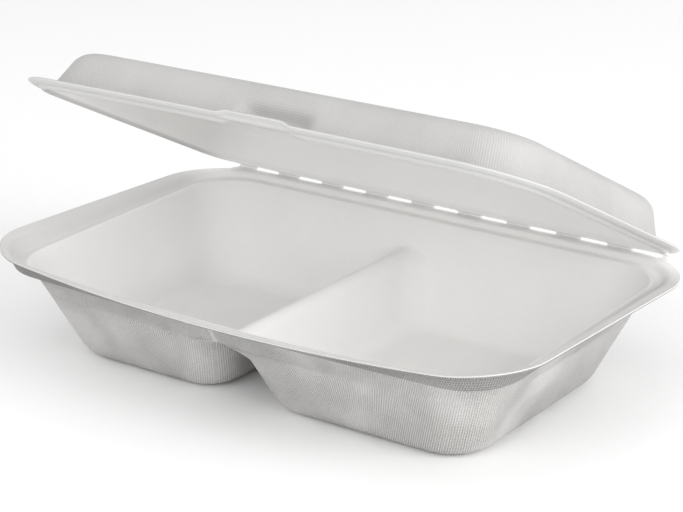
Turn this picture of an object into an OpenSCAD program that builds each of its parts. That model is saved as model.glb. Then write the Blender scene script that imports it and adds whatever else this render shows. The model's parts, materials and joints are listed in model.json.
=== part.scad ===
// Two-compartment hinged food container, press-moulded from sugarcane fibre in one sheet.
// The hinge line is the model's reference: profiles are drawn with the hinge at y = 0
// and the front at -Y, and the whole part is then moved to stand centred on the origin.

/* [Tray] */
// Length of the tray along the hinge
base_l = 248; // [236:1:262]
// Depth from the hinge line to the front corners
base_w = 155.5; // [148:0.5:166]
// Height of the hinge line above the table
base_h = 43.2; // [40:0.2:50]
// Thickness of the pressed fibre
wall = 0.9; // [0.7:0.05:1.1]
// How far the front corners of the rim curl up
corner_lift = 4.5; // [0:0.5:6]
// How far the front edge of the rim bows out
front_bow = 7.5; // [0:0.5:9]
// Radius of the rim's front corners
front_corner_r = 28; // [24:1:34]
// Radius of the rim's back corners
back_corner_r = 31; // [26:1:36]

/* [Ledge] */
// Distance from the rim in to the ledge, at the ends
ledge_in_side = 8.9; // [8:0.1:10]
// Distance from the rim in to the ledge, at the front
ledge_in_front = 5; // [4.5:0.1:6.5]
// Distance from the hinge line in to the ledge
ledge_in_back = 8.2; // [7.5:0.1:9.5]
// Width of the ledge
ledge_w = 2.6; // [2:0.1:3.4]
// Depth of the ledge below the rim at the hinge
ledge_drop = 1.9; // [1.5:0.1:3.5]
// How much lower the ledge runs at the front
ledge_fall = 2; // [0:0.1:3]
// How far the front wall bows out at the ledge
wall_bow = 4.6; // [0:0.2:6]

/* [Compartments] */
// Draft of the end walls, in degrees
side_draft = 23.5; // [18:0.5:28]
// Draft of the front wall, in degrees
front_draft = 21; // [16:0.5:26]
// Draft of the back wall, in degrees
back_draft = 25; // [20:0.5:28]
// Draft of the divider's two walls, in degrees
divider_draft = 17; // [12:0.5:20]
// Rounding between the walls and the floor
floor_r = 9; // [7:0.5:11]
// Corner radius of the compartments at the floor
floor_corner_r = 18; // [15:0.5:22]
// Corner radius of the compartments at the ledge
ledge_corner_r = 22; // [19:0.5:25]
// Corner radius of the compartments beside the divider
divider_corner_r = 14; // [11:0.5:17]
// Radius of those corners where they meet the divider's crest
crest_corner_r = 2.5; // [2:0.1:4]
// Height of the divider's crest above the table
divider_h = 29.3; // [26:0.1:33]
// Rounding of the divider's crest
divider_r = 5; // [4:0.1:6]
// How far the divider stands off the middle
divider_x = -7; // [-14:0.5:14]

/* [Lid] */
// Length of the lid along the hinge
lid_l = 239; // [234:1:246]
// Depth of the lid from the hinge line to its front corners
lid_w = 157.5; // [155:0.5:161]
// How far the lid stands off the middle
lid_x = 2; // [-2:0.5:2]
// Height of the lid above its rim
lid_h = 18.4; // [15:0.1:24]
// Draft of the lid's walls, in degrees
lid_draft = 17; // [13:0.5:24]
// Rounding between the lid's walls and its top
lid_r = 8; // [6:0.5:9]
// Corner radius of the lid's walls
lid_corner_r = 20; // [17:0.5:22]
// Radius of the lid rim's front corners
lid_front_corner_r = 28; // [25:0.5:32]
// Radius of the lid rim's back corners
lid_back_corner_r = 29; // [26:0.5:34]
// How far the lid's outer lip turns up
lip_rise = 1.3; // [0.6:0.1:2]
// Depth of the bead that nests in the tray's mouth
bead_h = 1.1; // [0.6:0.1:1.5]
// How far the lid stands open from level
lid_open = 27; // [5:0.5:60]

/* [Thumb tab] */
// Place of the thumb tab along the front edge
tab_x = 11; // [-20:0.5:20]
// Width of the thumb tab
tab_w = 28; // [22:0.5:36]
// How far the lid's wall is scooped in behind the tab
tab_in = 5; // [3:0.2:6]
// How far the lip lifts at the tab
tab_lift = 1.2; // [0.4:0.1:2]

/* [Hinge] */
// Number of slots along the hinge
slot_count = 9; // [7:1:11]
// Length of one slot
slot_l = 12.4; // [10:0.1:14]
// Width of the slots
slot_w = 2; // [1.6:0.1:2.6]
// Distance from the lid's ends in to the ends of the hinge web
web_in = 12; // [10:0.5:16]
// How far the web reaches further past the slots at the left than at the right
web_skew = 2.9; // [0:0.1:4]
// Length of fibre left past the last slot at each end, before that skew
end_bridge = 6.5; // [5:0.1:9]
// How far each half of a bridge reaches into its rim
bridge_root = 1.4; // [1:0.1:2]
// Thickness of the creased fibre between the slots
web_t = 0.6; // [0.5:0.05:0.8]
// Gap between the two halves of the crease
crease_gap = 0.3; // [0.2:0.05:0.4]

/* [Hidden] */

corner_steps = 7;
overlap = 1;
// How far the cutting forms reach out past the rims
clear_out = 3;
clear_up = 9;
// How much narrower a bridge is at the crease, on each side
bridge_waist = 0.5;
fibre = [0.82, 0.81, 0.79];
fibre_lid = [0.86, 0.85, 0.83];

half_l = base_l / 2;
front_y = base_w + front_bow;
flange_y = slot_w / 2;
stand_back = front_y / 2;
lid_half_l = lid_l / 2;
ledge_z = base_h - ledge_drop - ledge_fall / 2;
roll_drop = corner_lift + ledge_drop;
web_l = lid_l - 2 * web_in;
web_x = lid_x - web_skew;
slot_pitch = (web_l - 2 * end_bridge - slot_l) / (slot_count - 1);

// The rim rolls from its edge down to the ledge: share of the way in, share of the drop
ROLL = [[0, 0], [0.13, 0.05], [0.34, 0.09], [0.5, 0.17],
    [0.65, 0.36], [0.79, 0.66], [0.91, 0.9], [1, 1]];

// General helpers
function clamp01(v) = min(max(v, 0), 1);
function smooth(v) = let (c = clamp01(v)) c * c * (3 - 2 * c);
function unit(v) = v / norm(v);
function between(a, b, n) = [for (i = [1:n - 1]) a + (b - a) * i / n];
function arc(cx, cy, r, start, n) =
    [for (i = [0:n]) [cx + r * cos(start + 90 * i / n), cy + r * sin(start + 90 * i / n)]];

// A rounded rectangle, walked anticlockwise from its front right corner.
// corners = [front right, back right, back left, front left]; front = x places along the front side
function rounded(x0, x1, yf, yb, corners, steps, side_n, back_n, front) = concat(
    arc(x1 - corners[0], yf + corners[0], corners[0], -90, steps),
    [for (y = between(yf + corners[0], yb - corners[1], side_n)) [x1, y]],
    arc(x1 - corners[1], yb - corners[1], corners[1], 0, steps),
    [for (x = between(x1 - corners[1], x0 + corners[2], back_n)) [x, yb]],
    arc(x0 + corners[2], yb - corners[2], corners[2], 90, steps),
    [for (y = between(yb - corners[2], yf + corners[3], side_n)) [x0, y]],
    arc(x0 + corners[3], yf + corners[3], corners[3], 180, steps),
    [for (x = front) [x, yf]]);

// A closed skin over a stack of loops that all have the same number of points
module loft(rings) {
    n = len(rings[0]);
    m = len(rings);
    points = concat([for (ring = rings) each ring], [middle(rings[0]), middle(rings[m - 1])]);
    faces = concat(
        [for (j = [0:m - 2], i = [0:n - 1]) let (k = (i + 1) % n)
            each [[j * n + i, j * n + k, (j + 1) * n + k], [j * n + i, (j + 1) * n + k, (j + 1) * n + i]]],
        [for (i = [0:n - 1]) [m * n, (i + 1) % n, i]],
        [for (i = [0:n - 1]) [m * n + 1, (m - 1) * n + i, (m - 1) * n + (i + 1) % n]]);
    polyhedron(points, faces);
}
function middle(ring) = [for (axis = [0:2]) sum([for (p = ring) p[axis]]) / len(ring)];
function sum(v, i = 0) = i < len(v) ? v[i] + sum(v, i + 1) : 0;

// Tray
// Share of the way from the hinge to the front, and how far out along the hinge a point lies
function reach(p) = clamp01(-p[1] / base_w);
function spread(p) = pow(p[0] / half_l, 2);
function bowed(p, bow) = [p[0], p[1] - bow * (1 - spread(p)) * pow(reach(p), 3)];

function rim_z(p) = base_h + corner_lift * reach(p) * spread(p);
function ledge_level(p) = base_h - ledge_drop - ledge_fall * reach(p);

// Distance in from the rim of a drafted wall with a rounded foot, at height z.
// top_in, top_z = where the wall starts; skin = depth into the fibre from the outside
function wall_in(z, top_in, top_z, draft, skin) =
    z >= floor_r - (floor_r - skin) * sin(draft)
        ? top_in + (top_z - z) * tan(draft) + skin / cos(draft)
        : top_in + (top_z - floor_r) * tan(draft) + floor_r / cos(draft)
            - sqrt(max(pow(floor_r - skin, 2) - pow(floor_r - z, 2), 0));
function wall_line(z, top_in, top_z, draft, skin) = top_in + (top_z - z) * tan(draft) + skin / cos(draft);

function side_in(z, skin) = wall_in(z, ledge_in_side + ledge_w, ledge_z, side_draft, skin);
function front_in(z, skin) = wall_in(z, ledge_in_front + ledge_w, ledge_z, front_draft, skin);
function back_in(z, skin) = wall_in(z, ledge_in_back + ledge_w, ledge_z, back_draft, skin);
function foot_shift(z, skin) =
    side_in(z, skin) - wall_line(z, ledge_in_side + ledge_w, ledge_z, side_draft, skin);
function bow_at(z) = wall_bow * clamp01(z / ledge_z);

// Half the divider's width at height z: a round crest, then drafted walls
crest_z = divider_h - divider_r;
function crest_r(skin) = divider_r - wall + skin;
function divider_half(z, skin) = z >= crest_z + crest_r(skin) * sin(divider_draft)
    ? sqrt(max(pow(crest_r(skin), 2) - pow(z - crest_z, 2), 0))
    : wall_in(z, crest_r(0) * cos(divider_draft), crest_z + crest_r(0) * sin(divider_draft),
        divider_draft, skin);

// One loop of the rim and the upper walls; ins = [side, front, back] distances in from the rim
function tray_loop(ins, radii, bow) =
    let (x = half_l - ins[0])
    [for (p = rounded(-x, x, -base_w + ins[1], -ins[2], [radii[0], radii[1], radii[1], radii[0]],
        corner_steps, 6, 7, between(-x + radii[0], x - radii[0], 14))) bowed(p, bow)];

// The rolled rim, one loop for each step of ROLL, pushed through the fibre by skin
function roll_normal(i) =
    let (a = ROLL[max(i - 1, 0)], b = ROLL[min(i + 1, len(ROLL) - 1)])
    unit([(a[1] - b[1]) * roll_drop, (a[0] - b[0]) * ledge_in_side]);
function roll_loop(i, depth) =
    let (share = ROLL[i], push = roll_normal(i) * depth,
        ins = [share[0] * ledge_in_side + push[0], share[0] * ledge_in_front + push[0],
            share[0] * (ledge_in_back - flange_y) + flange_y + push[0]])
    [for (p = tray_loop(ins, [front_corner_r - ins[0], back_corner_r - ins[0]],
            front_bow + (wall_bow - front_bow) * share[0]))
        [p[0], p[1], rim_z(p) + (ledge_level(p) - rim_z(p)) * share[1] + push[1]]];
function edge_loop(out, rise) =
    let (radii = [front_corner_r + out, back_corner_r + out])
    [for (p = tray_loop([-out, -out, flange_y - out], radii, front_bow)) [p[0], p[1], rim_z(p) + rise]];

// The walls from the ledge down to the divider's crest
function ledge_loop(skin) =
    let (push = skin - wall, ins = [ledge_in_side + ledge_w + skin, ledge_in_front + ledge_w + skin,
        ledge_in_back + ledge_w + skin])
    [for (p = tray_loop(ins, [ledge_corner_r, ledge_corner_r], wall_bow))
        [p[0], p[1], ledge_level(p) + push]];
function upper_wall_loop(z, skin) =
    [for (p = tray_loop([side_in(z, skin), front_in(z, skin), back_in(z, skin)],
        [corner_at(z, skin), corner_at(z, skin)], bow_at(z))) [p[0], p[1], z]];
function corner_at(z, skin) =
    floor_corner_r + (ledge_corner_r - floor_corner_r) * z / ledge_z - foot_shift(z, skin) - skin;

module upper_form(skin) {
    outside = skin == 0;
    top_z = crest_z + crest_r(skin);
    loft(concat(
        outside ? [edge_loop(0, overlap)] : [edge_loop(clear_out, clear_up), edge_loop(clear_out, 0)],
        [for (i = [0:len(ROLL) - 1]) roll_loop(i, outside ? wall : 0)],
        [ledge_loop(skin), upper_wall_loop((ledge_z + top_z) / 2, skin), upper_wall_loop(top_z, skin)]));
}

// Heights of a compartment's loops: a start inside the upper walls, down the crest, round the foot
function pocket_levels(skin) = concat([crest_z + crest_r(skin) + overlap],
    [for (a = [0, 18, 36, 54, 90 - divider_draft]) crest_z + crest_r(skin) * cos(a)],
    [for (i = [0:5]) floor_r - (floor_r - skin) * sin(front_draft + (90 - front_draft) * i / 5)]);

module pocket(hand, skin) {
    top_z = crest_z + crest_r(skin);
    loft([for (level = pocket_levels(skin))
        let (z = min(level, top_z),
            outer_x = half_l - side_in(z, skin),
            inner_x = divider_half(z, skin) + hand * divider_x,
            outer_r = corner_at(z, skin),
            deep = clamp01((top_z - z) / (top_z - crest_z)),
            open_r = crest_corner_r + (divider_corner_r - crest_corner_r) * deep,
            inner_r = max(open_r - foot_shift(z, skin) - skin, crest_corner_r - wall),
            corners = [outer_r, outer_r, inner_r, inner_r],
            loop = rounded(inner_x, outer_x, -base_w + front_in(z, skin), -back_in(z, skin), corners,
                corner_steps, 4, 4, between(inner_x + inner_r, outer_x - outer_r, 7)))
        [for (p = loop) let (q = bowed(p, bow_at(z))) [q[0], q[1], level]]]);
}

module tray_form(skin) {
    upper_form(skin);
    pocket(1, skin);
    mirror([1, 0, 0]) pocket(-1, skin);
}

// Hinge
function slot_x(i) = lid_x + (i - (slot_count - 1) / 2) * slot_pitch;
web_ends = [web_x - web_l / 2, web_x + web_l / 2];
// Both ends of every bridge of fibre between two slots, from end to end of the web
bridges = [for (i = [0:slot_count])
    [i == 0 ? web_ends[0] : slot_x(i - 1) + slot_l / 2,
        i == slot_count ? web_ends[1] : slot_x(i) - slot_l / 2]];

// How far back from the hinge's flat edge a bridge has to reach at x, where the rim rounds its corner.
// rim = [middle, half length, radius of the back corners] of that rim
function root_at(x, rim) = let (past = max(abs(x - rim[0]) - rim[1] + rim[2], 0))
    bridge_root + rim[2] - sqrt(pow(rim[2], 2) - pow(past, 2));

// Half of every bridge, from the crease back into a rim's edge; up is 1 for the lid and -1 for the tray
module bridge_row(up, rim) {
    for (b = bridges)
        hull() {
            for (x = [b[0], b[1] - bridge_waist])
                translate([x, -flange_y - root_at(x, rim), up > 0 ? crease_gap / 2 : -wall])
                    cube([bridge_waist, root_at(x, rim), wall - crease_gap / 2]);
            translate([b[0] + bridge_waist, -flange_y, up > 0 ? crease_gap / 2 : -crease_gap / 2 - web_t])
                cube([b[1] - b[0] - 2 * bridge_waist, flange_y - crease_gap / 2, web_t]);
        }
}

module base_tray() {
    color(fibre)
        translate([0, stand_back, 0]) {
            difference() {
                tray_form(0);
                tray_form(wall);
            }
            translate([0, 0, base_h]) bridge_row(-1, [0, half_l, back_corner_r]);
        }
}

// Lid, drawn closed: its rim's underside lies in the plane of the hinge line
// Height of the rim's flat part above that plane
rim_flat = 0.15;
// The rim's underside, from the lip to the foot of the wall: distance in, height
LID_RIM = [[0, lip_rise], [1.4, lip_rise * 0.45], [3.2, rim_flat], [4.6, rim_flat],
    [5.4, rim_flat - bead_h * 0.55], [6.4, rim_flat - bead_h], [7.4, rim_flat - bead_h],
    [8.3, rim_flat - bead_h * 0.4]];
// Where the wall starts: distance in from the rim, and height
lid_foot_in = 9.2;
lid_foot_z = 1;
// The lip and the bead fade out over this distance from the hinge, and over this one beside the tab
hinge_ease = 20;
tab_ease = 5;
// The thumb scoop keeps its full depth up to this height, and is gone at this share of the lid's height
scoop_z = 4;
scoop_top = 0.6;

function tab_share(p) = p[1] < -lid_w / 2
    ? smooth((tab_w / 2 + tab_ease * 0.6 - abs(p[0] - tab_x)) / tab_ease) : 0;
// Places along the front edge, close together where the tab fades out
function lid_stations(x0, x1) = concat(
    between(x0, tab_x - tab_w / 2 - 4, 4), [tab_x - tab_w / 2 - 4],
    between(tab_x - tab_w / 2 - 3, tab_x - tab_w / 2 + 2, 4),
    [tab_x - tab_w / 2 + 2, tab_x - tab_w / 6, tab_x + tab_w / 6, tab_x + tab_w / 2 - 2],
    between(tab_x + tab_w / 2 - 2, tab_x + tab_w / 2 + 3, 4),
    [tab_x + tab_w / 2 + 4], between(tab_x + tab_w / 2 + 4, x1, 4));

function lid_loop(in, radii, bow, back) =
    let (x = lid_half_l - in)
    [for (p = rounded(lid_x - x, lid_x + x, -lid_w + in, -back,
        [radii[0], radii[1], radii[1], radii[0]], corner_steps, 5, 6,
        lid_stations(lid_x - x + radii[0], lid_x + x - radii[0]))) bowed(p, bow)];

function rim_normal(i) =
    let (a = LID_RIM[max(i - 1, 0)], b = LID_RIM[min(i + 1, len(LID_RIM) - 1)])
    unit([a[1] - b[1], b[0] - a[0]]);
// The rim of the lid: at the tab its lip lifts and its bead fades out; lift = 1 on the upper side
function lid_rim_loop(i, lift) =
    let (push = rim_normal(i) * wall * lift, in = LID_RIM[i][0] + push[0], z = LID_RIM[i][1],
        lip = i < 2 ? 1 : 0)
    [for (p = lid_loop(in, [lid_front_corner_r - in, lid_back_corner_r - in], front_bow,
            max(in, 0) * (ledge_in_back - flange_y) / lid_foot_in + flange_y))
        let (near_hinge = smooth(1 + p[1] / hinge_ease), tab = tab_share(p))
        [p[0], p[1], push[1] + (z > rim_flat
            ? rim_flat + (z - rim_flat) * (1 - near_hinge) + lip * tab_lift * tab
            : z + (rim_flat - z) * max(tab, near_hinge))]];

function lid_wall_in(z, skin) = z <= lid_h - lid_r + (lid_r - skin) * sin(lid_draft)
    ? lid_foot_in + (z - lid_foot_z) * tan(lid_draft) + skin / cos(lid_draft)
    : lid_foot_in + (lid_h - lid_r - lid_foot_z) * tan(lid_draft) + lid_r / cos(lid_draft)
        - sqrt(max(pow(lid_r - skin, 2) - pow(z - lid_h + lid_r, 2), 0));
// A loop of the lid's wall: the thumb scoop pushes it in, most at the foot
function lid_wall_loop(z, skin) =
    let (in = lid_wall_in(z, skin), up = clamp01((z - lid_foot_z) / (lid_h - lid_foot_z)),
        r = lid_corner_r - (in - lid_foot_in - (z - lid_foot_z) * tan(lid_draft)) * 0.6,
        fade = 1 - smooth((z - scoop_z) / (lid_h * scoop_top - scoop_z)))
    [for (p = lid_loop(in, [r, r + 2 * (1 - up)], front_bow * (1 - 0.6 * up), in))
        [p[0], p[1] + tab_in * tab_share(p) * fade, z]];

function lid_levels(skin) = concat([lid_foot_z + 0.8, 4, 7, 10],
    [for (i = [0:5]) lid_h - lid_r + (lid_r - skin) * sin(lid_draft + (90 - lid_draft) * i / 5)]);

module lid_form(skin) {
    outside = skin == 0;
    edge = lid_rim_loop(0, 0);
    wide = lid_loop(-clear_out, [lid_front_corner_r + clear_out, lid_back_corner_r + clear_out],
        front_bow, flange_y - clear_out);
    below = [for (p = wide) [p[0], p[1], -clear_up]];
    level = [for (i = [0:len(wide) - 1]) [wide[i][0], wide[i][1], edge[i][2]]];
    under = [for (p = edge) [p[0], p[1], p[2] - clear_up]];
    mirror([0, 0, 1]) loft([for (ring = concat(outside ? [under] : [below, level],
        [for (i = [0:len(LID_RIM) - 1]) lid_rim_loop(i, outside ? 1 : 0)],
        [for (z = lid_levels(skin)) lid_wall_loop(z, skin)])) [for (p = ring) [p[0], p[1], -p[2]]]]);
}

module lid() {
    color(fibre_lid)
        translate([0, stand_back, base_h])
            rotate([-lid_open, 0, 0]) {
                difference() {
                    lid_form(0);
                    lid_form(wall);
                }
                bridge_row(1, [lid_x, lid_half_l, lid_back_corner_r]);
            }
}

base_tray();
lid();
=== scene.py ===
# %% [markdown]
# # A hinged food box pressed from plant fibre
# The real box is one sheet of wet pulp, pressed between a smooth tool and a fine wire mesh.
# The tray and the lid are joined along a slotted crease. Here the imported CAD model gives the
# places and sizes, and each half is dressed in a finer skin that carries the pulp's finish.

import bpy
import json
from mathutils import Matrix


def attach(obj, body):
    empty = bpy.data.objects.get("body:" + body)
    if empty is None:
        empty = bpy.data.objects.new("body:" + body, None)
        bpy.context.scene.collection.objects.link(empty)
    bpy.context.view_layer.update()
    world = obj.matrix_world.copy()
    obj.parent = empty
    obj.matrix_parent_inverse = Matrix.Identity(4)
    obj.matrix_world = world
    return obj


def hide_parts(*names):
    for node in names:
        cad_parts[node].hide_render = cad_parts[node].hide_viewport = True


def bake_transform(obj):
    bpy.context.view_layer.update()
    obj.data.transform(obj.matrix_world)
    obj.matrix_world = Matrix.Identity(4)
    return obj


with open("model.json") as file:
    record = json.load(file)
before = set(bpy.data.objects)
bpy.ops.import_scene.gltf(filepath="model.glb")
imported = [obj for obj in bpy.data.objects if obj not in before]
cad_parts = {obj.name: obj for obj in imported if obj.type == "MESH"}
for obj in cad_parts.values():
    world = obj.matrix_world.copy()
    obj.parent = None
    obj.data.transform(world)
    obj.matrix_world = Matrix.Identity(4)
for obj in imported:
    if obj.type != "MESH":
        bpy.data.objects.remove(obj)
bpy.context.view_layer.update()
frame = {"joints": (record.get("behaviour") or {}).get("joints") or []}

# %% [markdown]
# ## The box's own measures
# The skins follow the same walls as the solids, so they start from the same few sizes in
# millimetres. Lengths along the hinge are X, the front is at -Y, and heights are from the table.
# Profiles are drawn with the hinge at y = 0, and in_tray and in_lid move them into the frame.

# %% Sizes of the tray
import json
import math

import bpy
import numpy as np
from mathutils import Matrix, Vector

MM = 0.001
hinge_place = np.array(frame["joints"][0]["pos_m"]) / MM
HALF_L = 124.0
BASE_W = 155.5
BASE_H = hinge_place[2]
WALL = 0.9
CORNER_LIFT = 4.5
FRONT_BOW = 7.5
LEDGE_IN = {"side": 8.9, "front": 5.0, "back": 8.2}
LEDGE_W = 2.6
LEDGE_DROP = 1.9
LEDGE_FALL = 2.0
WALL_BOW = 4.6
DRAFT = {"side": math.radians(23.5), "front": math.radians(21), "back": math.radians(25)}
FLOOR_R = 9.0
SLOT_HALF_W = 2.3
LEDGE_Z = BASE_H - LEDGE_DROP - LEDGE_FALL / 2
RIM_R = {"front": 28.0, "back": 31.0}
print("hinge line at", hinge_place, "mm")

# %% Sizes of the divider and the lid
DIVIDER_X = -7.0
DIVIDER_H = 29.3
DIVIDER_R = 5.0
DIVIDER_DRAFT = math.radians(17)
CREST_Z = DIVIDER_H - DIVIDER_R
LEDGE_CORNER_R = 22.0
FLOOR_CORNER_R = 18.0
DIVIDER_CORNER_R = 14.0

LID_HALF_L = 119.5
LID_W = 157.5
LID_X = 2.0
LID_H = 18.4
LID_DRAFT = math.radians(17)
LID_R = 8.0
LID_CORNER_R = 20.0
LID_RIM_R = {"front": 28.0, "back": 29.0}
LID_OPEN = math.radians(27)
TAB_X, TAB_W, TAB_IN, TAB_LIFT = 11.0, 28.0, 5.0, 1.2
print("lid stands open by", round(math.degrees(LID_OPEN)), "degrees")

# %% [markdown]
# ## Walking round a rounded box
# Every wall of the box is a rounded rectangle that shrinks on its way down. If each loop has
# the same number of points, and each corner is always walked by the same points, the loops can be
# joined into a clean grid of quads. A corner zone keeps its reach and only changes its radius, so
# a sharp corner can open into a round one further down without any point being lost.

# %% Straight runs and corner zones
OUTER_REACH = 34.0
INNER_REACH = 17.0


def run(start, end, steps):
    """Points from start up to, but not at, end."""
    t = np.linspace(0, 1, steps, endpoint=False)[:, None]
    return np.array(start) * (1 - t) + np.array(end) * t


def corner_zone(tip, into, out, reach, radius, steps):
    """Points round a corner whose sharp tip is at tip, walked from direction into to out."""
    tip, into, out = (np.array(v, float) for v in (tip, into, out))
    straight = reach - radius
    length = 2 * straight + math.pi * radius / 2
    points = []
    for step in range(steps):
        way = length * step / steps
        if way < straight:
            points.append(tip - into * (reach - way))
        elif way < length - straight:
            turn = (way - straight) / radius
            centre = tip - into * radius + out * radius
            points.append(centre + radius * (into * math.sin(turn) - out * math.cos(turn)))
        else:
            points.append(tip + out * (reach - (length - way)))
    return np.array(points)


print("a corner zone has", len(corner_zone((0, 0), (1, 0), (0, 1), 10, 4, 12)), "points")

# %% Half of a tray loop, from the divider's front end round to its back end
ZONE_STEPS = 26
INNER_STEPS = 20
FRONT_RUN, SIDE_RUN, BACK_RUN, DIVIDER_RUN = 24, 26, 22, 40


def outer_walk(x_in, x_out, y_front, y_back, radii):
    """The outer walls of one half: x_in is at the divider, x_out at the end wall."""
    half = INNER_STEPS // 2
    return np.concatenate([
        run((x_in, y_front), (x_in + INNER_REACH, y_front), half),
        run((x_in + INNER_REACH, y_front), (x_out - OUTER_REACH, y_front), FRONT_RUN),
        corner_zone((x_out, y_front), (1, 0), (0, 1), OUTER_REACH, radii[0], ZONE_STEPS),
        run((x_out, y_front + OUTER_REACH), (x_out, y_back - OUTER_REACH), SIDE_RUN),
        corner_zone((x_out, y_back), (0, 1), (-1, 0), OUTER_REACH, radii[1], ZONE_STEPS),
        run((x_out - OUTER_REACH, y_back), (x_in + INNER_REACH, y_back), BACK_RUN),
        run((x_in + INNER_REACH, y_back), (x_in, y_back), half),
        [[x_in, y_back]],
    ])


def reach(points):
    return np.clip(-points[:, 1] / BASE_W, 0, 1)


def bowed(points, bow):
    """The front side pushed out in a bow that fades towards the hinge."""
    share = (1 - (points[:, 0] / HALF_L) ** 2) * reach(points) ** 3
    return np.column_stack([points[:, 0], points[:, 1] - bow * share])


HALF_COUNT = len(outer_walk(0, 100, -150, -10, (20, 20)))
print("points from one end of the divider to the other:", HALF_COUNT)

# %% [markdown]
# ## The tray's upper skin
# The tray is drawn as one surface, the side that the food touches, and gets its thickness later.
# From the rim it rolls down to a narrow ledge, and the walls then fall to the divider's crest.
# The rim is not flat on the real box: its front corners curl up, so every height is worked out
# from where the point lies.

# %% Heights and profile of the rolled rim
ROLL = np.array([
    [0, 0], [0.05, 0.015], [0.13, 0.04], [0.34, 0.09], [0.5, 0.17], [0.65, 0.36], [0.79, 0.66],
    [0.91, 0.9], [1, 1],
])


def rim_height(points):
    return BASE_H + CORNER_LIFT * reach(points) * (points[:, 0] / HALF_L) ** 2


def ledge_height(points):
    return BASE_H - LEDGE_DROP - LEDGE_FALL * reach(points)


def eased(table, count):
    """A smooth curve through the rows of a table, with the same ends."""
    at = np.linspace(0, len(table) - 1, count)
    low = np.clip(at.astype(int), 0, len(table) - 2)
    t = (at - low)[:, None]
    padded = np.vstack([2 * table[0] - table[1], table, 2 * table[-1] - table[-2]])
    p0, p1, p2, p3 = (padded[low + k] for k in range(4))
    return 0.5 * (2 * p1 + (p2 - p0) * t + (2 * p0 - 5 * p1 + 4 * p2 - p3) * t**2
                  + (3 * p1 - p0 - 3 * p2 + p3) * t**3)


roll_curve = eased(ROLL, 22)
print("the rim rolls down in", len(roll_curve), "loops")

# %% Insets of the drafted walls
def wall_inset(z, top_inset, top_z, draft):
    """Distance in from the rim of the inner face of a drafted wall with a rounded foot."""
    foot = FLOOR_R - WALL
    if z >= FLOOR_R - foot * math.sin(draft):
        return top_inset + (top_z - z) * math.tan(draft) + WALL / math.cos(draft)
    centre = top_inset + (top_z - FLOOR_R) * math.tan(draft) + FLOOR_R / math.cos(draft)
    return centre - math.sqrt(max(foot**2 - (FLOOR_R - z) ** 2, 0))


def insets(z):
    """Side, front and back insets of the compartments' walls at height z."""
    return [wall_inset(z, LEDGE_IN[side] + LEDGE_W, LEDGE_Z, DRAFT[side])
            for side in ("side", "front", "back")]


def divider_half(z):
    """Half of the divider's width at height z: a round crest over drafted walls."""
    shoulder = CREST_Z + DIVIDER_R * math.sin(DIVIDER_DRAFT)
    if z >= shoulder:
        return math.sqrt(max(DIVIDER_R**2 - (z - CREST_Z) ** 2, 0))
    crest_r = DIVIDER_R - WALL
    return wall_inset(z, crest_r * math.cos(DIVIDER_DRAFT),
                      CREST_Z + crest_r * math.sin(DIVIDER_DRAFT), DIVIDER_DRAFT)


print("insets at the floor:", [round(v, 1) for v in insets(WALL)])

# %% One level of the tray
def tray_level(side, front, back, radii, bow, height):
    """A whole loop: right half from the divider's front end, then the left half back to it."""
    halves = []
    for hand in (1, -1):
        walk = outer_walk(hand * DIVIDER_X, HALF_L - side, -BASE_W + front, -back, radii)
        halves.append(walk * [hand, 1])
    loop = bowed(np.concatenate([halves[0], halves[1][::-1][1:-1]]), bow)
    heights = height(loop) if callable(height) else np.full(len(loop), height)
    return np.column_stack([loop, heights])


def wall_radius(z, side):
    plain = LEDGE_IN["side"] + LEDGE_W + (LEDGE_Z - z) * math.tan(DRAFT["side"])
    plain += WALL / math.cos(DRAFT["side"])
    return FLOOR_CORNER_R + (LEDGE_CORNER_R - FLOOR_CORNER_R) * z / LEDGE_Z - (side - plain) - WALL


def wall_level(z):
    side, front, back = insets(z)
    radius = wall_radius(z, side)
    return tray_level(side, front, back, (radius, radius), WALL_BOW * z / LEDGE_Z, z)


rows = []
for share, drop in roll_curve:
    side, front = share * LEDGE_IN["side"], share * LEDGE_IN["front"]
    back = SLOT_HALF_W + share * (LEDGE_IN["back"] - SLOT_HALF_W)
    rows.append(tray_level(
        side, front, back, (RIM_R["front"] - side, RIM_R["back"] - side),
        FRONT_BOW + (WALL_BOW - FRONT_BOW) * share,
        lambda p, drop=drop: rim_height(p) + (ledge_height(p) - rim_height(p)) * drop,
    ))
print("rim loops:", len(rows), "of", len(rows[0]), "points")

# %% The ledge and the walls down to the divider's crest
# Each row of the ledge: share of its width, and how far it has dropped in millimetres.
LEDGE_STEPS = [(0.25, 0), (0.55, 0), (0.8, 0.06), (0.95, 0.25), (1.0, 0.6)]
LEDGE_OPENS = 1.5
WALL_STEPS = 7
WALL_START = LEDGE_Z - 1
for share, drop in LEDGE_STEPS:
    push = LEDGE_W * share + WALL * share
    radius = LEDGE_CORNER_R + (1 - share) * LEDGE_OPENS
    rows.append(tray_level(
        LEDGE_IN["side"] + push, LEDGE_IN["front"] + push, LEDGE_IN["back"] + push,
        (radius - WALL, radius - WALL), WALL_BOW,
        lambda p, drop=drop: ledge_height(p) - drop,
    ))
last_height = rows[-1][:, 2].copy()
for step in range(1, WALL_STEPS + 1):
    t = step / WALL_STEPS
    flat = wall_level(WALL_START + (DIVIDER_H - WALL_START) * t)
    flat[:, 2] = last_height + (DIVIDER_H - last_height) * t
    rows.append(flat)
upper_rows = np.array(rows)
print("upper skin:", upper_rows.shape)

# %% [markdown]
# ## Two compartments under the crest
# Below the crest the loop parts in two. Each compartment takes the outer walls that are already
# there and closes them with the crest line, and the corners beside the divider start sharp and
# open up on the way down, which gives the soft fan that pulp leaves where a rib meets a wall.

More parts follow.
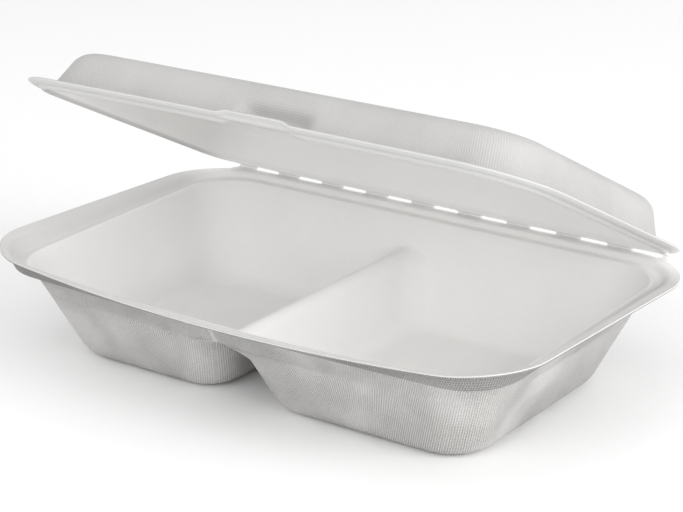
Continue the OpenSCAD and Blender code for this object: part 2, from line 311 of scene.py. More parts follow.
# %% Loops of one compartment
def pocket_loop(hand, z):
    side, front, back = insets(z)
    radius = wall_radius(z, side)
    half = divider_half(z)
    x_in, x_out = hand * DIVIDER_X + half, HALF_L - side
    y_front, y_back = -BASE_W + front, -back
    deep = min(max((DIVIDER_H - z) / DIVIDER_R, 0), 1)
    foot = side - (LEDGE_IN["side"] + LEDGE_W + (LEDGE_Z - z) * math.tan(DRAFT["side"]))
    inner = max(DIVIDER_CORNER_R * deep**0.7 - max(foot - WALL / math.cos(DRAFT["side"]), 0), 0.02)
    outer = outer_walk(x_in, x_out, y_front, y_back, (radius, radius))
    half_zone = INNER_STEPS // 2
    back_zone = corner_zone((x_in, y_back), (-1, 0), (0, -1), INNER_REACH, inner, INNER_STEPS)
    front_zone = corner_zone((x_in, y_front), (0, -1), (1, 0), INNER_REACH, inner, INNER_STEPS)
    walk = np.concatenate([
        front_zone[half_zone:], outer[half_zone:-half_zone - 1], back_zone,
        run((x_in, y_back - INNER_REACH), (x_in, y_front + INNER_REACH), DIVIDER_RUN),
        front_zone[:half_zone],
    ])
    loop = bowed(walk, WALL_BOW * z / LEDGE_Z)
    return np.column_stack([loop[:, 0] * hand, loop[:, 1], np.full(len(loop), z)])


def pocket_heights():
    crest = [CREST_Z + DIVIDER_R * math.cos(a)
             for a in np.linspace(0, math.pi / 2 - DIVIDER_DRAFT, 10)]
    foot = [FLOOR_R - (FLOOR_R - WALL) * math.sin(a)
            for a in np.linspace(DRAFT["front"], math.pi / 2, 11)]
    return crest + list(np.linspace(crest[-1], foot[0], 10)[1:-1]) + foot


levels = pocket_heights()
print("a compartment has", len(levels), "loops of", len(pocket_loop(1, 20)), "points")

# %% [markdown]
# ## From loops to a mesh
# A small builder keeps the points and the quads. The compartments reuse the points of the last
# upper loop and of the crest, so the whole inside of the tray is one unbroken surface, and it can
# be smoothed where the crest runs into the walls.

# %% A mesh builder for skins
def loop_lengths(loop):
    """Length travelled along a loop at each of its points."""
    return np.concatenate([[0], np.cumsum(np.linalg.norm(np.diff(loop, axis=0), axis=1))])


class Skin:
    """Points, quads and the length travelled along and across the sheet at each point."""

    def __init__(self):
        self.points, self.faces, self.sheet, self.flat = [], [], [], []

    def add(self, loop, along=None, down=0.0):
        first = len(self.points)
        self.points.extend(loop)
        if along is None:
            along = loop_lengths(loop)
        self.sheet.extend(np.column_stack([along, np.full(len(loop), down)]))
        return list(range(first, first + len(loop)))

    def join(self, upper, lower, flip=False, flat=False):
        """Quads between two closed loops of ids; flat marks the floor and the lid's top."""
        count = len(upper)
        for i in range(count):
            k = (i + 1) % count
            quad = [upper[i], upper[k], lower[k], lower[i]]
            self.faces.append(quad[::-1] if flip else quad)
            self.flat.append(flat)

    def close(self, loop, flip=False):
        self.faces.append(loop[::-1] if flip else loop)
        self.flat.append(True)


print("builder ready")

# %% The tray's inside as one surface
tray = Skin()
down = 0.0
ids = []
for j, row in enumerate(upper_rows):
    if j:
        down += float(np.median(np.linalg.norm(row - upper_rows[j - 1], axis=1)))
    ids.append(tray.add(row, loop_lengths(upper_rows[0]), down))
for above, below in zip(ids, ids[1:]):
    tray.join(above, below)

half_turn = HALF_COUNT - 1
rim_last = ids[-1]
right_outer = rim_last[:half_turn + 1]
left_outer = [rim_last[0]] + rim_last[half_turn:][::-1]
crest_top = pocket_loop(1, DIVIDER_H)[half_turn + 1:]
crest_ids = tray.add(crest_top, down=down)
wall_depth = down
print("upper rows joined; the crest has", len(crest_ids), "points")

# %% Hang both compartments below the crest
FLOOR_RINGS = 5
FLOOR_RISE = 0.5
FLOOR_SPREAD = 60
MID_WALL_Z = 14
for hand, outer in ((1, right_outer), (-1, left_outer)):
    last, down = outer + crest_ids, wall_depth
    along = loop_lengths(pocket_loop(hand, MID_WALL_Z))
    before = pocket_loop(hand, levels[0])
    for z in levels[1:]:
        loop = pocket_loop(hand, z)
        down += float(np.median(np.linalg.norm(loop - before, axis=1)))
        now = tray.add(loop, along, down)
        tray.join(last, now, flip=hand < 0)
        last, before = now, loop
    middle = before.mean(axis=0)
    for ring in range(1, FLOOR_RINGS + 1):
        t = ring / (FLOOR_RINGS + 1)
        loop = before * (1 - t) + middle * t
        loop[:, 2] = before[:, 2] + FLOOR_RISE * math.sin(t * math.pi / 2) ** 2
        now = tray.add(loop, along, down + FLOOR_SPREAD * t)
        tray.join(last, now, flip=hand < 0, flat=True)
        last = now
    tray.close(last, flip=hand < 0)
print("tray surface:", len(tray.points), "points,", len(tray.faces), "faces")

# %% [markdown]
# ## Softening the ends of the divider
# Pulp never makes a sharp inside corner. A few passes that pull each point towards its
# neighbours, weighted so that they only act near the two ends of the crest, melt the rib into
# the front and back walls.

# %% Local smoothing
def neighbours_of(skin):
    pairs = set()
    for face in skin.faces:
        for a, b in zip(face, face[1:] + face[:1]):
            pairs.add((a, b) if a < b else (b, a))
    return np.array(sorted(pairs))


def relax(points, pairs, weight, passes):
    for _ in range(passes):
        total = np.zeros_like(points)
        count = np.zeros(len(points))
        for a, b in ((0, 1), (1, 0)):
            np.add.at(total, pairs[:, a], points[pairs[:, b]])
            np.add.at(count, pairs[:, a], 1)
        points = points + (total / count[:, None] - points) * weight[:, None]
    return points


SOFT_REACH, SOFT_PULL, SOFT_PASSES = 11, 0.6, 14
tray_points = np.array(tray.points)
tray_pairs = neighbours_of(tray)
crest_ends = [tray_points[rim_last[0]], tray_points[rim_last[half_turn]]]
near = np.zeros(len(tray_points))
for end in crest_ends:
    near = np.maximum(near, 1 - np.linalg.norm(tray_points - end, axis=1) / SOFT_REACH)
tray_points = relax(tray_points, tray_pairs, np.clip(near, 0, 1) * SOFT_PULL, SOFT_PASSES)
print("softened", int((near > 0).sum()), "points")

# %% [markdown]
# ## Thickness, and the two faces of the pulp
# The pressed sheet is just under a millimetre thick. The surface is copied and pushed outwards
# along its normals, and a narrow band closes the rim. The copy gets a second material, because
# the outside of such a box carries the print of the wire mesh and the inside is smooth.

# %% Close a surface into a sheet
EDGE_BULGE = 0.3
FLAT_SHIFT = 1000
SEAM_JUMP = 0.2


def point_normals(points, faces):
    normals = np.zeros_like(points)
    for face in faces:
        ring = points[face]
        turned = np.cross(ring, np.roll(ring, -1, axis=0)).sum(axis=0)
        normals[face] += turned
    return normals / np.linalg.norm(normals, axis=1)[:, None]


def sheet_object(name, points, skin, edge, materials, place):
    """A closed sheet: the skin, its copy one wall thickness outside, and a rounded edge."""
    normals = point_normals(points, skin.faces)
    count = len(points)
    other = points - normals * WALL
    middle = (points[edge] + other[edge]) / 2
    along = np.roll(points[edge], -1, axis=0) - np.roll(points[edge], 1, axis=0)
    away = np.cross(along, normals[edge])
    away /= np.linalg.norm(away, axis=1)[:, None]
    if np.dot(away[0], points[edge[0]] - points[edge].mean(axis=0)) < 0:
        away = -away
    middle += away * WALL * EDGE_BULGE
    every = np.concatenate([points, other, middle])
    faces = list(skin.faces) + [[v + count for v in face[::-1]] for face in skin.faces]
    sides = [0] * len(skin.faces) + [1] * len(skin.faces)
    mids = list(range(2 * count, 2 * count + len(edge)))
    for i in range(len(edge)):
        k = (i + 1) % len(edge)
        faces.append([edge[i], edge[k], mids[k], mids[i]])
        faces.append([mids[i], mids[k], edge[k] + count, edge[i] + count])
        sides += [0, 1]
    mesh = bpy.data.meshes.new(name)
    mesh.from_pydata([tuple(v) for v in place(every) * MM], [], [tuple(f) for f in faces])
    for material in materials:
        mesh.materials.append(material)
    mesh.polygons.foreach_set("material_index", sides)
    mesh.polygons.foreach_set("use_smooth", [True] * len(faces))
    sheet = np.array(skin.sheet)
    spread = np.concatenate([sheet, sheet, sheet[edge]])
    store_sheet_lengths(mesh, spread, every, skin.flat + skin.flat + [False] * 2 * len(edge))
    thing = bpy.data.objects.new(name, mesh)
    bpy.context.scene.collection.objects.link(thing)
    return thing


def store_sheet_lengths(mesh, spread, points, flat):
    """Keeps each corner's place on the sheet, in metres: flat faces take x and y instead."""
    where = mesh.attributes.new("sheet_place", "FLOAT_VECTOR", "CORNER")
    values = np.zeros((len(mesh.loops), 3), np.float32)
    ids = np.zeros(len(mesh.loops), np.int64)
    mesh.loops.foreach_get("vertex_index", ids)
    values[:, :2] = spread[ids] * MM
    for poly in mesh.polygons:
        span = slice(poly.loop_start, poly.loop_start + poly.loop_total)
        if flat[poly.index]:
            values[span, :2] = (points[ids[span]][:, :2] + [0, FLAT_SHIFT]) * MM
            continue
        u = values[span, 0]
        if u.max() - u.min() > SEAM_JUMP:
            values[span, 0] = np.where(u < u.max() / 2, u.max(), u)
    where.data.foreach_set("vector", values.ravel())


print("sheet builder ready")

# %% [markdown]
# ## The pulp's finish
# Pressed pulp is a matt, slightly warm grey-white with faint clouds where fibres lie thicker.
# Both faces share those clouds, so they are a node group. The mesh print is a second group, used
# on the outside of the tray and of the lid with different strengths: it is a fine square weave
# that follows the sheet's own lengths, so it bends round the corners as the wire mesh did.
# A third group paints shade on the rims, making them darker than the walls, and paints light on
# them near the hinge.

# %% Small helpers for node trees
# A colour mix has several sockets of the same name, so these four are told apart by number.
MIX_SHARE, MIX_A, MIX_B, MIX_RESULT = 0, 6, 7, 2


def new_group(name, inputs, outputs):
    group = bpy.data.node_groups.new(name, "ShaderNodeTree")
    for label, kind, value in inputs:
        made = group.interface.new_socket(label, in_out="INPUT", socket_type=kind)
        if value is not None:
            made.default_value = value
    for label, kind in outputs:
        group.interface.new_socket(label, in_out="OUTPUT", socket_type=kind)
    return group, group.nodes.new("NodeGroupInput"), group.nodes.new("NodeGroupOutput")


def node(tree, kind, settings=(), **links):
    """A new node: links are values or sockets, named by input, or i0, i1 for inputs by number."""
    made = tree.nodes.new(kind)
    for key, value in settings:
        setattr(made, key, value)
    for key, value in links.items():
        socket = made.inputs[int(key[1:])] if key[0] == "i" and key[1:].isdigit() else (
            made.inputs[key.replace("_", " ")])
        if isinstance(value, bpy.types.NodeSocket):
            tree.links.new(value, socket)
        else:
            socket.default_value = value
    return made


def math_node(tree, operation, a, b=0.0):
    return node(tree, "ShaderNodeMath", [("operation", operation)], i0=a, i1=b).outputs[0]


def sheet_place_of(tree):
    """Lengths along and down the pressed sheet, in metres, as separate X and Y."""
    where = node(tree, "ShaderNodeAttribute", [("attribute_name", "sheet_place")])
    return node(tree, "ShaderNodeSeparateXYZ", Vector=where.outputs["Vector"])


print("node helpers ready")

# %% Fibre clouds: where the pulp lies thicker or thinner
clouds, cloud_in, cloud_out = new_group(
    "fibre clouds",
    [("Light", "NodeSocketColor", (0.8, 0.8, 0.8, 1)),
     ("Dark", "NodeSocketColor", (0.7, 0.7, 0.7, 1))],
    [("Colour", "NodeSocketColor"), ("Height", "NodeSocketFloat")],
)
place = node(clouds, "ShaderNodeTexCoord").outputs["Object"]
broad = node(clouds, "ShaderNodeTexNoise", Vector=place, Scale=22.0, Detail=3.0, Roughness=0.5)
speckle = node(clouds, "ShaderNodeTexNoise", Vector=place, Scale=420.0, Detail=2.0, Roughness=0.6)
mixed = math_node(clouds, "ADD", math_node(clouds, "MULTIPLY", broad.outputs["Fac"], 0.75),
                  math_node(clouds, "MULTIPLY", speckle.outputs["Fac"], 0.25))
tone = node(clouds, "ShaderNodeMapRange", Value=mixed, From_Min=0.38, From_Max=0.62)
shade = node(clouds, "ShaderNodeMix", [("data_type", "RGBA")])
clouds.links.new(tone.outputs["Result"], shade.inputs["Factor"])
clouds.links.new(cloud_in.outputs["Dark"], shade.inputs[MIX_A])
clouds.links.new(cloud_in.outputs["Light"], shade.inputs[MIX_B])
clouds.links.new(shade.outputs[MIX_RESULT], cloud_out.inputs["Colour"])
clouds.links.new(mixed, cloud_out.inputs["Height"])
print("group:", clouds.name)

# %% Mesh print: the weave that the wire leaves on the outside
weave, weave_in, weave_out = new_group(
    "mesh print",
    [("Pitch", "NodeSocketFloat", 0.0011), ("Patchiness", "NodeSocketFloat", 0.5)],
    [("Height", "NodeSocketFloat"), ("Hollow shade", "NodeSocketFloat")],
)
spot = sheet_place_of(weave)
turn = math_node(weave, "DIVIDE", 2 * math.pi, weave_in.outputs["Pitch"])
waves = [math_node(weave, "SINE", math_node(weave, "MULTIPLY", spot.outputs[axis], turn))
         for axis in ("X", "Y")]
cross = math_node(weave, "ADD", math_node(weave, "MULTIPLY", waves[0], 0.6),
                  math_node(weave, "MULTIPLY", waves[1], 0.4))
patch = node(weave, "ShaderNodeTexNoise", Scale=35.0, Detail=2.0,
             Vector=node(weave, "ShaderNodeTexCoord").outputs["Object"])
patch_mask = node(weave, "ShaderNodeMapRange", Value=patch.outputs["Fac"], From_Min=0.35,
                  From_Max=0.6, To_Max=1.0)
weave.links.new(math_node(weave, "SUBTRACT", 1.0, weave_in.outputs["Patchiness"]),
                patch_mask.inputs["To Min"])
print_height = math_node(weave, "MULTIPLY", cross, patch_mask.outputs["Result"])
weave.links.new(print_height, weave_out.inputs["Height"])
# Painted shade: the print's low parts give a mask that darkens the colour.
hollow_shade = math_node(weave, "MAXIMUM", math_node(weave, "MULTIPLY", print_height, -1.0), 0.0)
weave.links.new(hollow_shade, weave_out.inputs["Hollow shade"])
print("group:", weave.name)

# %% Rim band: painted shade makes the flange darker than the walls, and painted light lifts it near the hinge
rim_shade_and_hinge_light, rim_in, rim_out = new_group(
    "rim shade and hinge light",
    [("Colour", "NodeSocketColor", (0.8, 0.8, 0.8, 1)), ("Tone", "NodeSocketFloat", 0.8),
     ("Width", "NodeSocketFloat", 0.0125), ("Hinge tone", "NodeSocketFloat", 1.0)],
    [("Colour", "NodeSocketColor")],
)
BAND_FADE = 0.002
HINGE_FROM, HINGE_TO = 0.05, 0.074
# Painted shade: from the rim's edge down the sheet to Width, the colour is scaled by Tone, then
# eased back to full over BAND_FADE.
fade = node(rim_shade_and_hinge_light, "ShaderNodeMapRange", [("interpolation_type", "SMOOTHSTEP")],
            Value=sheet_place_of(rim_shade_and_hinge_light).outputs["Y"], To_Max=1.0)
rim_shade_and_hinge_light.links.new(rim_in.outputs["Width"], fade.inputs["From Min"])
rim_shade_and_hinge_light.links.new(math_node(rim_shade_and_hinge_light, "ADD", rim_in.outputs["Width"], BAND_FADE),
                   fade.inputs["From Max"])
# Painted light: towards the hinge the band's scale rises from Tone to Hinge tone, lighter than the
# walls, where the fold would shade the rim.
box_at = node(rim_shade_and_hinge_light, "ShaderNodeSeparateXYZ", Vector=node(
    rim_shade_and_hinge_light, "ShaderNodeTexCoord").outputs["Object"])
to_hinge = node(rim_shade_and_hinge_light, "ShaderNodeMapRange", [("interpolation_type", "SMOOTHSTEP")],
                Value=box_at.outputs["Y"], From_Min=HINGE_FROM, From_Max=HINGE_TO)
rim_shade_and_hinge_light.links.new(rim_in.outputs["Tone"], to_hinge.inputs["To Min"])
rim_shade_and_hinge_light.links.new(rim_in.outputs["Hinge tone"], to_hinge.inputs["To Max"])
rim_shade_and_hinge_light.links.new(to_hinge.outputs["Result"], fade.inputs["To Min"])
toned = node(rim_shade_and_hinge_light, "ShaderNodeVectorMath", [("operation", "SCALE")])
rim_shade_and_hinge_light.links.new(rim_in.outputs["Colour"], toned.inputs[0])
rim_shade_and_hinge_light.links.new(fade.outputs["Result"], toned.inputs["Scale"])
rim_shade_and_hinge_light.links.new(toned.outputs[0], rim_out.inputs["Colour"])
print("group:", rim_shade_and_hinge_light.name)

# %% Five finishes from the three groups
# Painted shade: the tint that the mesh print's low parts are darkened towards.
HOLLOW_SHADE_TINT = (0.45, 0.44, 0.42, 1)


def pulp(name, light, dark, rough, print_depth=0.0, hollow_shade_strength=0.0, patchiness=0.5, pitch=0.0009,
         rim_painted_shade=1.0, rim_width=0.0125, hinge_tone=1.0):
    """A matt fibre material; print_depth is the mesh print's depth in metres."""
    material = bpy.data.materials.new(name)
    material.use_nodes = True
    tree = material.node_tree
    shader = tree.nodes["Principled BSDF"]
    shader.inputs["Roughness"].default_value = rough
    shader.inputs["Specular IOR Level"].default_value = 0.25
    cloud = node(tree, "ShaderNodeGroup", [("node_tree", clouds)], Light=light, Dark=dark)
    fibre_bump = node(tree, "ShaderNodeBump", Strength=0.35, Distance=0.0004,
                      Height=cloud.outputs["Height"])
    colour, normal = cloud.outputs["Colour"], fibre_bump.outputs["Normal"]
    if print_depth:
        mesh_print = node(tree, "ShaderNodeGroup", [("node_tree", weave)], Pitch=pitch,
                          Patchiness=patchiness)
        bump = node(tree, "ShaderNodeBump", Strength=1.0, Distance=print_depth,
                    Height=mesh_print.outputs["Height"], Normal=normal)
        # Painted shade in the print's low parts, mixed into the colour.
        darker = node(tree, "ShaderNodeMix", [("data_type", "RGBA"), ("blend_type", "MULTIPLY")])
        tree.links.new(math_node(tree, "MULTIPLY", mesh_print.outputs["Hollow shade"], hollow_shade_strength),
                       darker.inputs[MIX_SHARE])
        tree.links.new(colour, darker.inputs[MIX_A])
        darker.inputs[MIX_B].default_value = HOLLOW_SHADE_TINT
        colour, normal = darker.outputs[MIX_RESULT], bump.outputs["Normal"]
    # Painted shade on the rim band, eased to painted light near the hinge.
    if rim_painted_shade < 1:
        band = node(tree, "ShaderNodeGroup", [("node_tree", rim_shade_and_hinge_light)], Colour=colour,
                    Tone=rim_painted_shade, Width=rim_width, Hinge_tone=hinge_tone)
        colour = band.outputs["Colour"]
    tree.links.new(colour, shader.inputs["Base Color"])
    tree.links.new(normal, shader.inputs["Normal"])
    return material


# Base tones: the smooth insides are lighter than the printed outsides, partly as the two faces of
# the pulp and partly as painted light against the shade inside; the lid's outside is darker than
# the tray's as painted shade against the light on its top.
tray_smooth = pulp("tray smooth pulp", (0.85, 0.843, 0.834, 1), (0.825, 0.818, 0.809, 1), 0.75,
                   rim_painted_shade=0.82, rim_width=0.0115, hinge_tone=1.1)
lid_smooth = pulp("lid smooth pulp", (0.88, 0.873, 0.863, 1), (0.86, 0.853, 0.843, 1), 0.75,
                  rim_painted_shade=0.68, rim_width=0.0095, hinge_tone=1.06)
# Painted light: the crease's pulp is made lighter than the rest, so the deep fold shows no shade.
crease_painted_light_pulp = pulp("crease pulp painted light", (0.93, 0.923, 0.915, 1), (0.91, 0.903, 0.895, 1), 0.75)
# Painted shade: the tray's outside is darkened for 12.5 mm down from the rim's edge, under the
# flange.
tray_print = pulp("tray mesh print", (0.70, 0.69, 0.68, 1), (0.65, 0.64, 0.632, 1), 0.85,
                  print_depth=0.0004, hollow_shade_strength=1.2, patchiness=0.4, rim_painted_shade=0.58)
lid_print = pulp("lid mesh print", (0.545, 0.54, 0.533, 1), (0.52, 0.515, 0.508, 1), 0.8,
                 print_depth=0.00008, hollow_shade_strength=0.4, patchiness=0.6)
print("finishes:", [m.name for m in bpy.data.materials])

# %% Put the tray in the frame
def in_tray(points):
    return points + [0, hinge_place[1], 0]


tray_skin = sheet_object("tray_skin", tray_points, tray, ids[0], [tray_smooth, tray_print],
                         in_tray)
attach(tray_skin, "tray_body")
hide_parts("base_tray")
print("tray skin:", len(tray_skin.data.polygons), "faces")

# %% [markdown]
# ## The lid
# The lid is a shallow crown on a flat rim. Its lip turns up, a bead on the underside nests in the
# tray's mouth, and at the thumb tab the bead stops, the lip lifts and the wall is scooped in.
# It is drawn closed, in the hinge line's plane, and then swung open about the hinge.

# %% Loops of the lid
LID_RIM = np.array([
    [0, 1.3], [0.6, 1.0], [1.4, 0.6], [3.2, 0.15], [4.6, 0.15], [5.4, -0.45], [6.4, -0.95],
    [7.4, -0.95], [8.3, -0.3], [9.0, 0.6],
])
LID_FOOT = (9.2, 1.0)
RIM_FLAT = 0.15
LIP_W = 2
HINGE_EASE = 20
TAB_STEPS = 60
TAB_EASE = 5.0
TAB_SPAN = 24.0


def lid_walk(inset, radii, y_back):
    x0, x1 = LID_X - LID_HALF_L + inset, LID_X + LID_HALF_L - inset
    y_front = -LID_W + inset
    return np.concatenate([
        corner_zone((x1, y_front), (1, 0), (0, 1), OUTER_REACH, radii[0], ZONE_STEPS),
        run((x1, y_front + OUTER_REACH), (x1, -y_back - OUTER_REACH), SIDE_RUN),
        corner_zone((x1, -y_back), (0, 1), (-1, 0), OUTER_REACH, radii[1], ZONE_STEPS),
        run((x1 - OUTER_REACH, -y_back), (x0 + OUTER_REACH, -y_back), 2 * BACK_RUN),
        corner_zone((x0, -y_back), (-1, 0), (0, -1), OUTER_REACH, radii[1], ZONE_STEPS),
        run((x0, -y_back - OUTER_REACH), (x0, y_front + OUTER_REACH), SIDE_RUN),
        corner_zone((x0, y_front), (0, -1), (1, 0), OUTER_REACH, radii[0], ZONE_STEPS),
        run((x0 + OUTER_REACH, y_front), (TAB_X - TAB_SPAN, y_front), FRONT_RUN),
        run((TAB_X - TAB_SPAN, y_front), (TAB_X + TAB_SPAN, y_front), TAB_STEPS),
        run((TAB_X + TAB_SPAN, y_front), (x1 - OUTER_REACH, y_front), FRONT_RUN // 2),
    ])


def smooth_step(v):
    v = np.clip(v, 0, 1)
    return v * v * (3 - 2 * v)


def tab_share(points, ease=TAB_EASE):
    """1 at the thumb tab, 0 away from it; ease is the length over which its ends fade."""
    front = points[:, 1] < -LID_W / 2
    from_end = TAB_W / 2 + ease * 0.6 - np.abs(points[:, 0] - TAB_X)
    return np.where(front, smooth_step(from_end / ease), 0)


print("lid loop:", len(lid_walk(0, (28, 29), 1)), "points")

# %% The lid's underside: the rim, then the crown's wall with the scoop behind the tab
WALL_FROM = 1.6
CORNER_FOLLOW = 0.6
BACK_OPENS = 2
BOW_LOST = 0.6
SCOOP_EASE = 9.0
SCOOP_Z, SCOOP_TOP = 4, LID_H * 0.6
lid = Skin()
lid_rows = []
for inset, height in eased(LID_RIM, 34):
    y_back = SLOT_HALF_W + max(inset, 0) * (LEDGE_IN["back"] - SLOT_HALF_W) / LID_FOOT[0]
    loop = bowed(lid_walk(inset, (LID_RIM_R["front"] - inset, LID_RIM_R["back"] - inset), y_back),
                 FRONT_BOW)
    tab = tab_share(loop)
    at_hinge = smooth_step(1 + loop[:, 1] / HINGE_EASE)
    if height > RIM_FLAT:
        lip = 1.0 if inset < LIP_W else max(0.0, 1 - (inset - LIP_W) / LIP_W)
        z = RIM_FLAT + (height - RIM_FLAT) * (1 - at_hinge) + lip * TAB_LIFT * tab
    else:
        z = height + (RIM_FLAT - height) * np.maximum(tab, at_hinge)
    lid_rows.append(np.column_stack([loop, z]))


def lid_wall_inset(z):
    """Inner face of the crown's wall: straight, then rounded into the top."""
    spring = LID_H - LID_R + (LID_R - WALL) * math.sin(LID_DRAFT)
    if z <= spring:
        return LID_FOOT[0] + (z - LID_FOOT[1]) * math.tan(LID_DRAFT) + WALL / math.cos(LID_DRAFT)
    centre = LID_FOOT[0] + (LID_H - LID_R - LID_FOOT[1]) * math.tan(LID_DRAFT)
    centre += LID_R / math.cos(LID_DRAFT)
    return centre - math.sqrt(max((LID_R - WALL) ** 2 - (z - LID_H + LID_R) ** 2, 0))


spring_z = LID_H - LID_R + (LID_R - WALL) * math.sin(LID_DRAFT)
wall_heights = list(np.linspace(WALL_FROM, spring_z, 12)) + [
    LID_H - LID_R + (LID_R - WALL) * math.sin(a)
    for a in np.linspace(LID_DRAFT, math.pi / 2, 12)[1:]
]
for z in wall_heights:
    inset = lid_wall_inset(z)
    up = min(max((z - LID_FOOT[1]) / (LID_H - LID_FOOT[1]), 0), 1)
    plain = LID_FOOT[0] + (z - LID_FOOT[1]) * math.tan(LID_DRAFT)
    radius = LID_CORNER_R - (inset - plain) * CORNER_FOLLOW
    loop = bowed(lid_walk(inset, (radius, radius + BACK_OPENS * (1 - up)), inset),
                 FRONT_BOW * (1 - BOW_LOST * up))
    scoop = 1 - smooth_step((z - SCOOP_Z) / (SCOOP_TOP - SCOOP_Z))
    loop[:, 1] += TAB_IN * tab_share(loop, SCOOP_EASE) * scoop
    lid_rows.append(np.column_stack([loop, np.full(len(loop), z)]))
print("lid loops:", len(lid_rows))

# %% Join the lid's loops and close its top
TOP_RINGS = 6
TOP_RISE = 0.6
TOP_SPREAD = 70
down, last = 0.0, None
for j, row in enumerate(lid_rows):
    if j:
        down += float(np.median(np.linalg.norm(row - lid_rows[j - 1], axis=1)))
    now = lid.add(row, loop_lengths(lid_rows[0]), down)
    if j:
        lid.join(now, last)
    else:
        lid_edge = now
    last = now
outline = lid_rows[-1]
middle = outline.mean(axis=0)
for ring in range(1, TOP_RINGS + 1):
    t = ring / (TOP_RINGS + 1)
    loop = outline * (1 - t) + middle * t
    loop[:, 2] = outline[:, 2] + TOP_RISE * math.sin(t * math.pi / 2) ** 2
    now = lid.add(loop, loop_lengths(outline), down + TOP_SPREAD * t)
    lid.join(now, last, flat=True)
    last = now
lid.close(last, flip=True)


def in_lid(points):
    """Swings points from the closed lid's plane to where the lid stands."""
    c, s = math.cos(LID_OPEN), math.sin(LID_OPEN)
    turned = np.column_stack([points[:, 0], points[:, 1] * c + points[:, 2] * s,
                              -points[:, 1] * s + points[:, 2] * c])
    return turned + [0, hinge_place[1], BASE_H]


lid_skin = sheet_object("lid_skin", np.array(lid.points), lid, lid_edge, [lid_smooth, lid_print],
                        in_lid)
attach(lid_skin, "lid_body")
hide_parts("lid")
print("lid skin:", len(lid_skin.data.polygons), "faces")

# %% [markdown]
# ## The slotted crease
# Tray and lid are one sheet, joined by short bridges between the slots. Each bridge is thinner
# than the rest and folds in a tight round. It crosses the hinge, so it is one piece that bends
# between the two bodies instead of riding on either.

# %% Bridges of the crease
SLOT_COUNT, SLOT_PITCH, SLOT_L = 9, 23.7, 12.4
SLOT_SHIFT = 2.0
WEB_X, WEB_L, WEB_T = -0.9, 215.0, 0.6
WEB_MID = 0.45
FOLD_IN = 1.6
FOLD_R = WEB_MID + FOLD_IN * math.sin(LID_OPEN / 2)
FOLD_AT = (-FOLD_IN * math.cos(LID_OPEN / 2), FOLD_IN * math.sin(LID_OPEN / 2))
slots = [SLOT_SHIFT + (i - (SLOT_COUNT - 1) / 2) * SLOT_PITCH for i in range(SLOT_COUNT)]
LAST_SLOT_EXTRA = 1.5
starts = [WEB_X - WEB_L / 2] + [x + SLOT_L / 2 for x in slots]
stops = [x - SLOT_L / 2 for x in slots] + [WEB_X + WEB_L / 2]


def rim_setback(x, middle, half, radius):
    """How far a rim's rounded back corner has drawn away from the hinge line at x."""
    past = min(max(abs(x - middle) - half + radius, 0), radius)
    return radius - math.sqrt(radius**2 - past**2)


starts[-1] += LAST_SLOT_EXTRA
print("bridges:", len(starts))

# %% Build the bridges as one bending sheet
ROOT = SLOT_HALF_W + 1.2
ACROSS = 12
FLARE, FLARE_AT_FOLD = 1.6, 0.1
LID_DIR = (-math.cos(LID_OPEN), math.sin(LID_OPEN))
LID_UP = (math.sin(LID_OPEN), math.cos(LID_OPEN))


def bridge_points(x_from, x_to):
    """Grid of points for one bridge: rows follow the fold, columns run along the hinge."""
    rows = []
    back = np.linspace(1, 0, 7)
    turns = np.linspace(-math.pi / 2, math.pi / 2 - LID_OPEN, 13)
    stations = ([("tray", t) for t in back] + [("fold", a) for a in turns]
                + [("lid", t) for t in back[::-1]])
    tangent = FOLD_IN * math.cos(LID_OPEN / 2)
    for kind, value in stations:
        row = []
        flare = FLARE_AT_FOLD
        if kind != "fold":
            flare = FLARE * float(smooth_step((value + 0.1) / 0.6))
        for c in range(ACROSS + 1):
            x = x_from - flare + (x_to - x_from + 2 * flare) * c / ACROSS
            tray_back = ROOT - tangent + rim_setback(x, 0, HALF_L, RIM_R["back"])
            lid_back = ROOT - tangent + rim_setback(x, LID_X, LID_HALF_L, LID_RIM_R["back"])
            if kind == "tray":
                centre, up = (-tangent - value * tray_back, -WEB_MID), (0.0, -1.0)
            elif kind == "fold":
                up = (math.cos(value), math.sin(value))
                centre = (FOLD_AT[0] + FOLD_R * up[0], FOLD_AT[1] + FOLD_R * up[1])
            else:
                away = tangent + value * lid_back
                centre = (LID_DIR[0] * away + LID_UP[0] * WEB_MID,
                          LID_DIR[1] * away + LID_UP[1] * WEB_MID)
                up = LID_UP
            row.append([(x, centre[0] + up[0] * s * WEB_T / 2, centre[1] + up[1] * s * WEB_T / 2)
                        for s in (-1, 1)])
        rows.append(row)
    return np.array(rows)


points, faces, outside = [], [], []
for x_from, x_to in zip(starts, stops):
    grid = bridge_points(x_from, x_to)
    high, wide = grid.shape[:2]
    base = len(points)
    points.extend(grid.reshape(-1, 3))

    def at(r, c, s):
        return base + (r * wide + c) * 2 + s

    for r in range(high - 1):
        for c in range(wide - 1):
            faces.append([at(r, c, 0), at(r, c + 1, 0), at(r + 1, c + 1, 0), at(r + 1, c, 0)])
            faces.append([at(r, c, 1), at(r + 1, c, 1), at(r + 1, c + 1, 1), at(r, c + 1, 1)])
            outside.append(len(faces) - 1)
        for c in (0, wide - 1):
            quad = [at(r, c, 0), at(r + 1, c, 0), at(r + 1, c, 1), at(r, c, 1)]
            faces.append(quad if c == 0 else quad[::-1])
    for r in (0, high - 1):
        for c in range(wide - 1):
            quad = [at(r, c, 0), at(r, c, 1), at(r, c + 1, 1), at(r, c + 1, 0)]
            faces.append(quad if r == 0 else quad[::-1])
web_points = np.array(points) + [0, hinge_place[1], BASE_H]
web_mesh = bpy.data.meshes.new("hinge_web")
web_mesh.from_pydata([tuple(v) for v in web_points * MM], [], [tuple(f) for f in faces])
web_mesh.polygons.foreach_set("use_smooth", [True] * len(web_mesh.polygons))
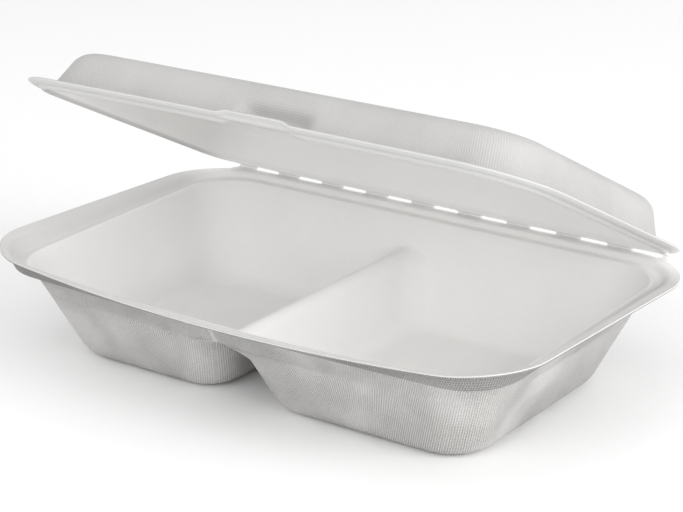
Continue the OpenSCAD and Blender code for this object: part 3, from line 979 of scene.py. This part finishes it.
# The fold's inside takes the lightened crease pulp: painted light against the fold's shade.
web_mesh.materials.append(crease_painted_light_pulp)
web_mesh.materials.append(lid_print)
for face in outside:
    web_mesh.polygons[face].material_index = 1
hinge_web = bpy.data.objects.new("hinge_web", web_mesh)
bpy.context.scene.collection.objects.link(hinge_web)
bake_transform(hinge_web)
print("crease:", len(faces), "faces in", len(starts), "bridges")

# %% [markdown]
# ## Floor, light and camera
# A studio shot of white packaging: one pale floor that runs up behind the box, soft lights above,
# in front and at the right, and an even sky, so that the shadows stay soft and grey.

# %% Floor
FLOOR_FRONT, FLOOR_WIDE, BEND_AT, BEND_R, BACK_H = 2.2, 3.3, 1.1, 0.5, 2.0
sweep = [(-FLOOR_FRONT, 0.0), (BEND_AT, 0.0)]
sweep += [(BEND_AT + BEND_R * math.sin(a), BEND_R - BEND_R * math.cos(a))
          for a in np.linspace(0, math.pi / 2, 16)[1:]]
sweep.append((BEND_AT + BEND_R, BACK_H))
verts = [(side * FLOOR_WIDE, y, z) for y, z in sweep for side in (-1, 1)]
quads = [(2 * i, 2 * i + 1, 2 * i + 3, 2 * i + 2) for i in range(len(sweep) - 1)]
floor_mesh = bpy.data.meshes.new("floor")
floor_mesh.from_pydata(verts, [], quads)
floor_mesh.polygons.foreach_set("use_smooth", [True] * len(quads))
floor = bpy.data.objects.new("floor", floor_mesh)
bpy.context.scene.collection.objects.link(floor)
paper = bpy.data.materials.new("pale floor")
paper.use_nodes = True
paper_shader = paper.node_tree.nodes["Principled BSDF"]
paper_shader.inputs["Base Color"].default_value = (0.97, 0.97, 0.97, 1)
paper_shader.inputs["Roughness"].default_value = 0.9
floor_mesh.materials.append(paper)
print("floor sweep of", len(sweep), "lines")

# %% Lights
def soft_light(name, place, size, power, aim=(0, 0, 0.05)):
    lamp = bpy.data.lights.new(name, "AREA")
    lamp.shape, lamp.size, lamp.energy = "DISK", size, power
    thing = bpy.data.objects.new(name, lamp)
    thing.location = place
    thing.rotation_euler = (Vector(aim) - Vector(place)).to_track_quat("-Z", "Y").to_euler()
    bpy.context.scene.collection.objects.link(thing)
    return thing


soft_light("overhead", (-0.7, -0.6, 1.6), 1.4, 3)
soft_light("front", (0.0, -1.5, 0.75), 1.6, 11)
soft_light("right side", (1.5, -0.1, 0.6), 1.2, 17)
world = bpy.data.worlds.new("studio")
world.use_nodes = True
world.node_tree.nodes["Background"].inputs["Color"].default_value = (1, 1, 1, 1)
world.node_tree.nodes["Background"].inputs["Strength"].default_value = 0.68
bpy.context.scene.world = world
print("three soft lights and an even sky")

# %% Camera
CAMERA_AT = Vector((0.4502, -0.6294, 0.3270))
AZIMUTH, ELEVATION, ROLL = math.radians(35.31), math.radians(19.96), math.radians(-0.22)
camera_data = bpy.data.cameras.new("camera")
camera_data.sensor_width = 36
camera_data.lens = 109.9
camera = bpy.data.objects.new("camera", camera_data)
camera.location = CAMERA_AT
looking = Vector((-math.sin(AZIMUTH) * math.cos(ELEVATION),
                  math.cos(AZIMUTH) * math.cos(ELEVATION), -math.sin(ELEVATION)))
camera.rotation_mode = "QUATERNION"
level = looking.to_track_quat("-Z", "Y").to_matrix()
camera.rotation_quaternion = (level @ Matrix.Rotation(ROLL, 3, "Z")).to_quaternion()
bpy.context.scene.collection.objects.link(camera)
bpy.context.scene.camera = camera
bpy.context.scene.view_settings.view_transform = "Standard"
print("camera looks along", tuple(round(v, 3) for v in looking))
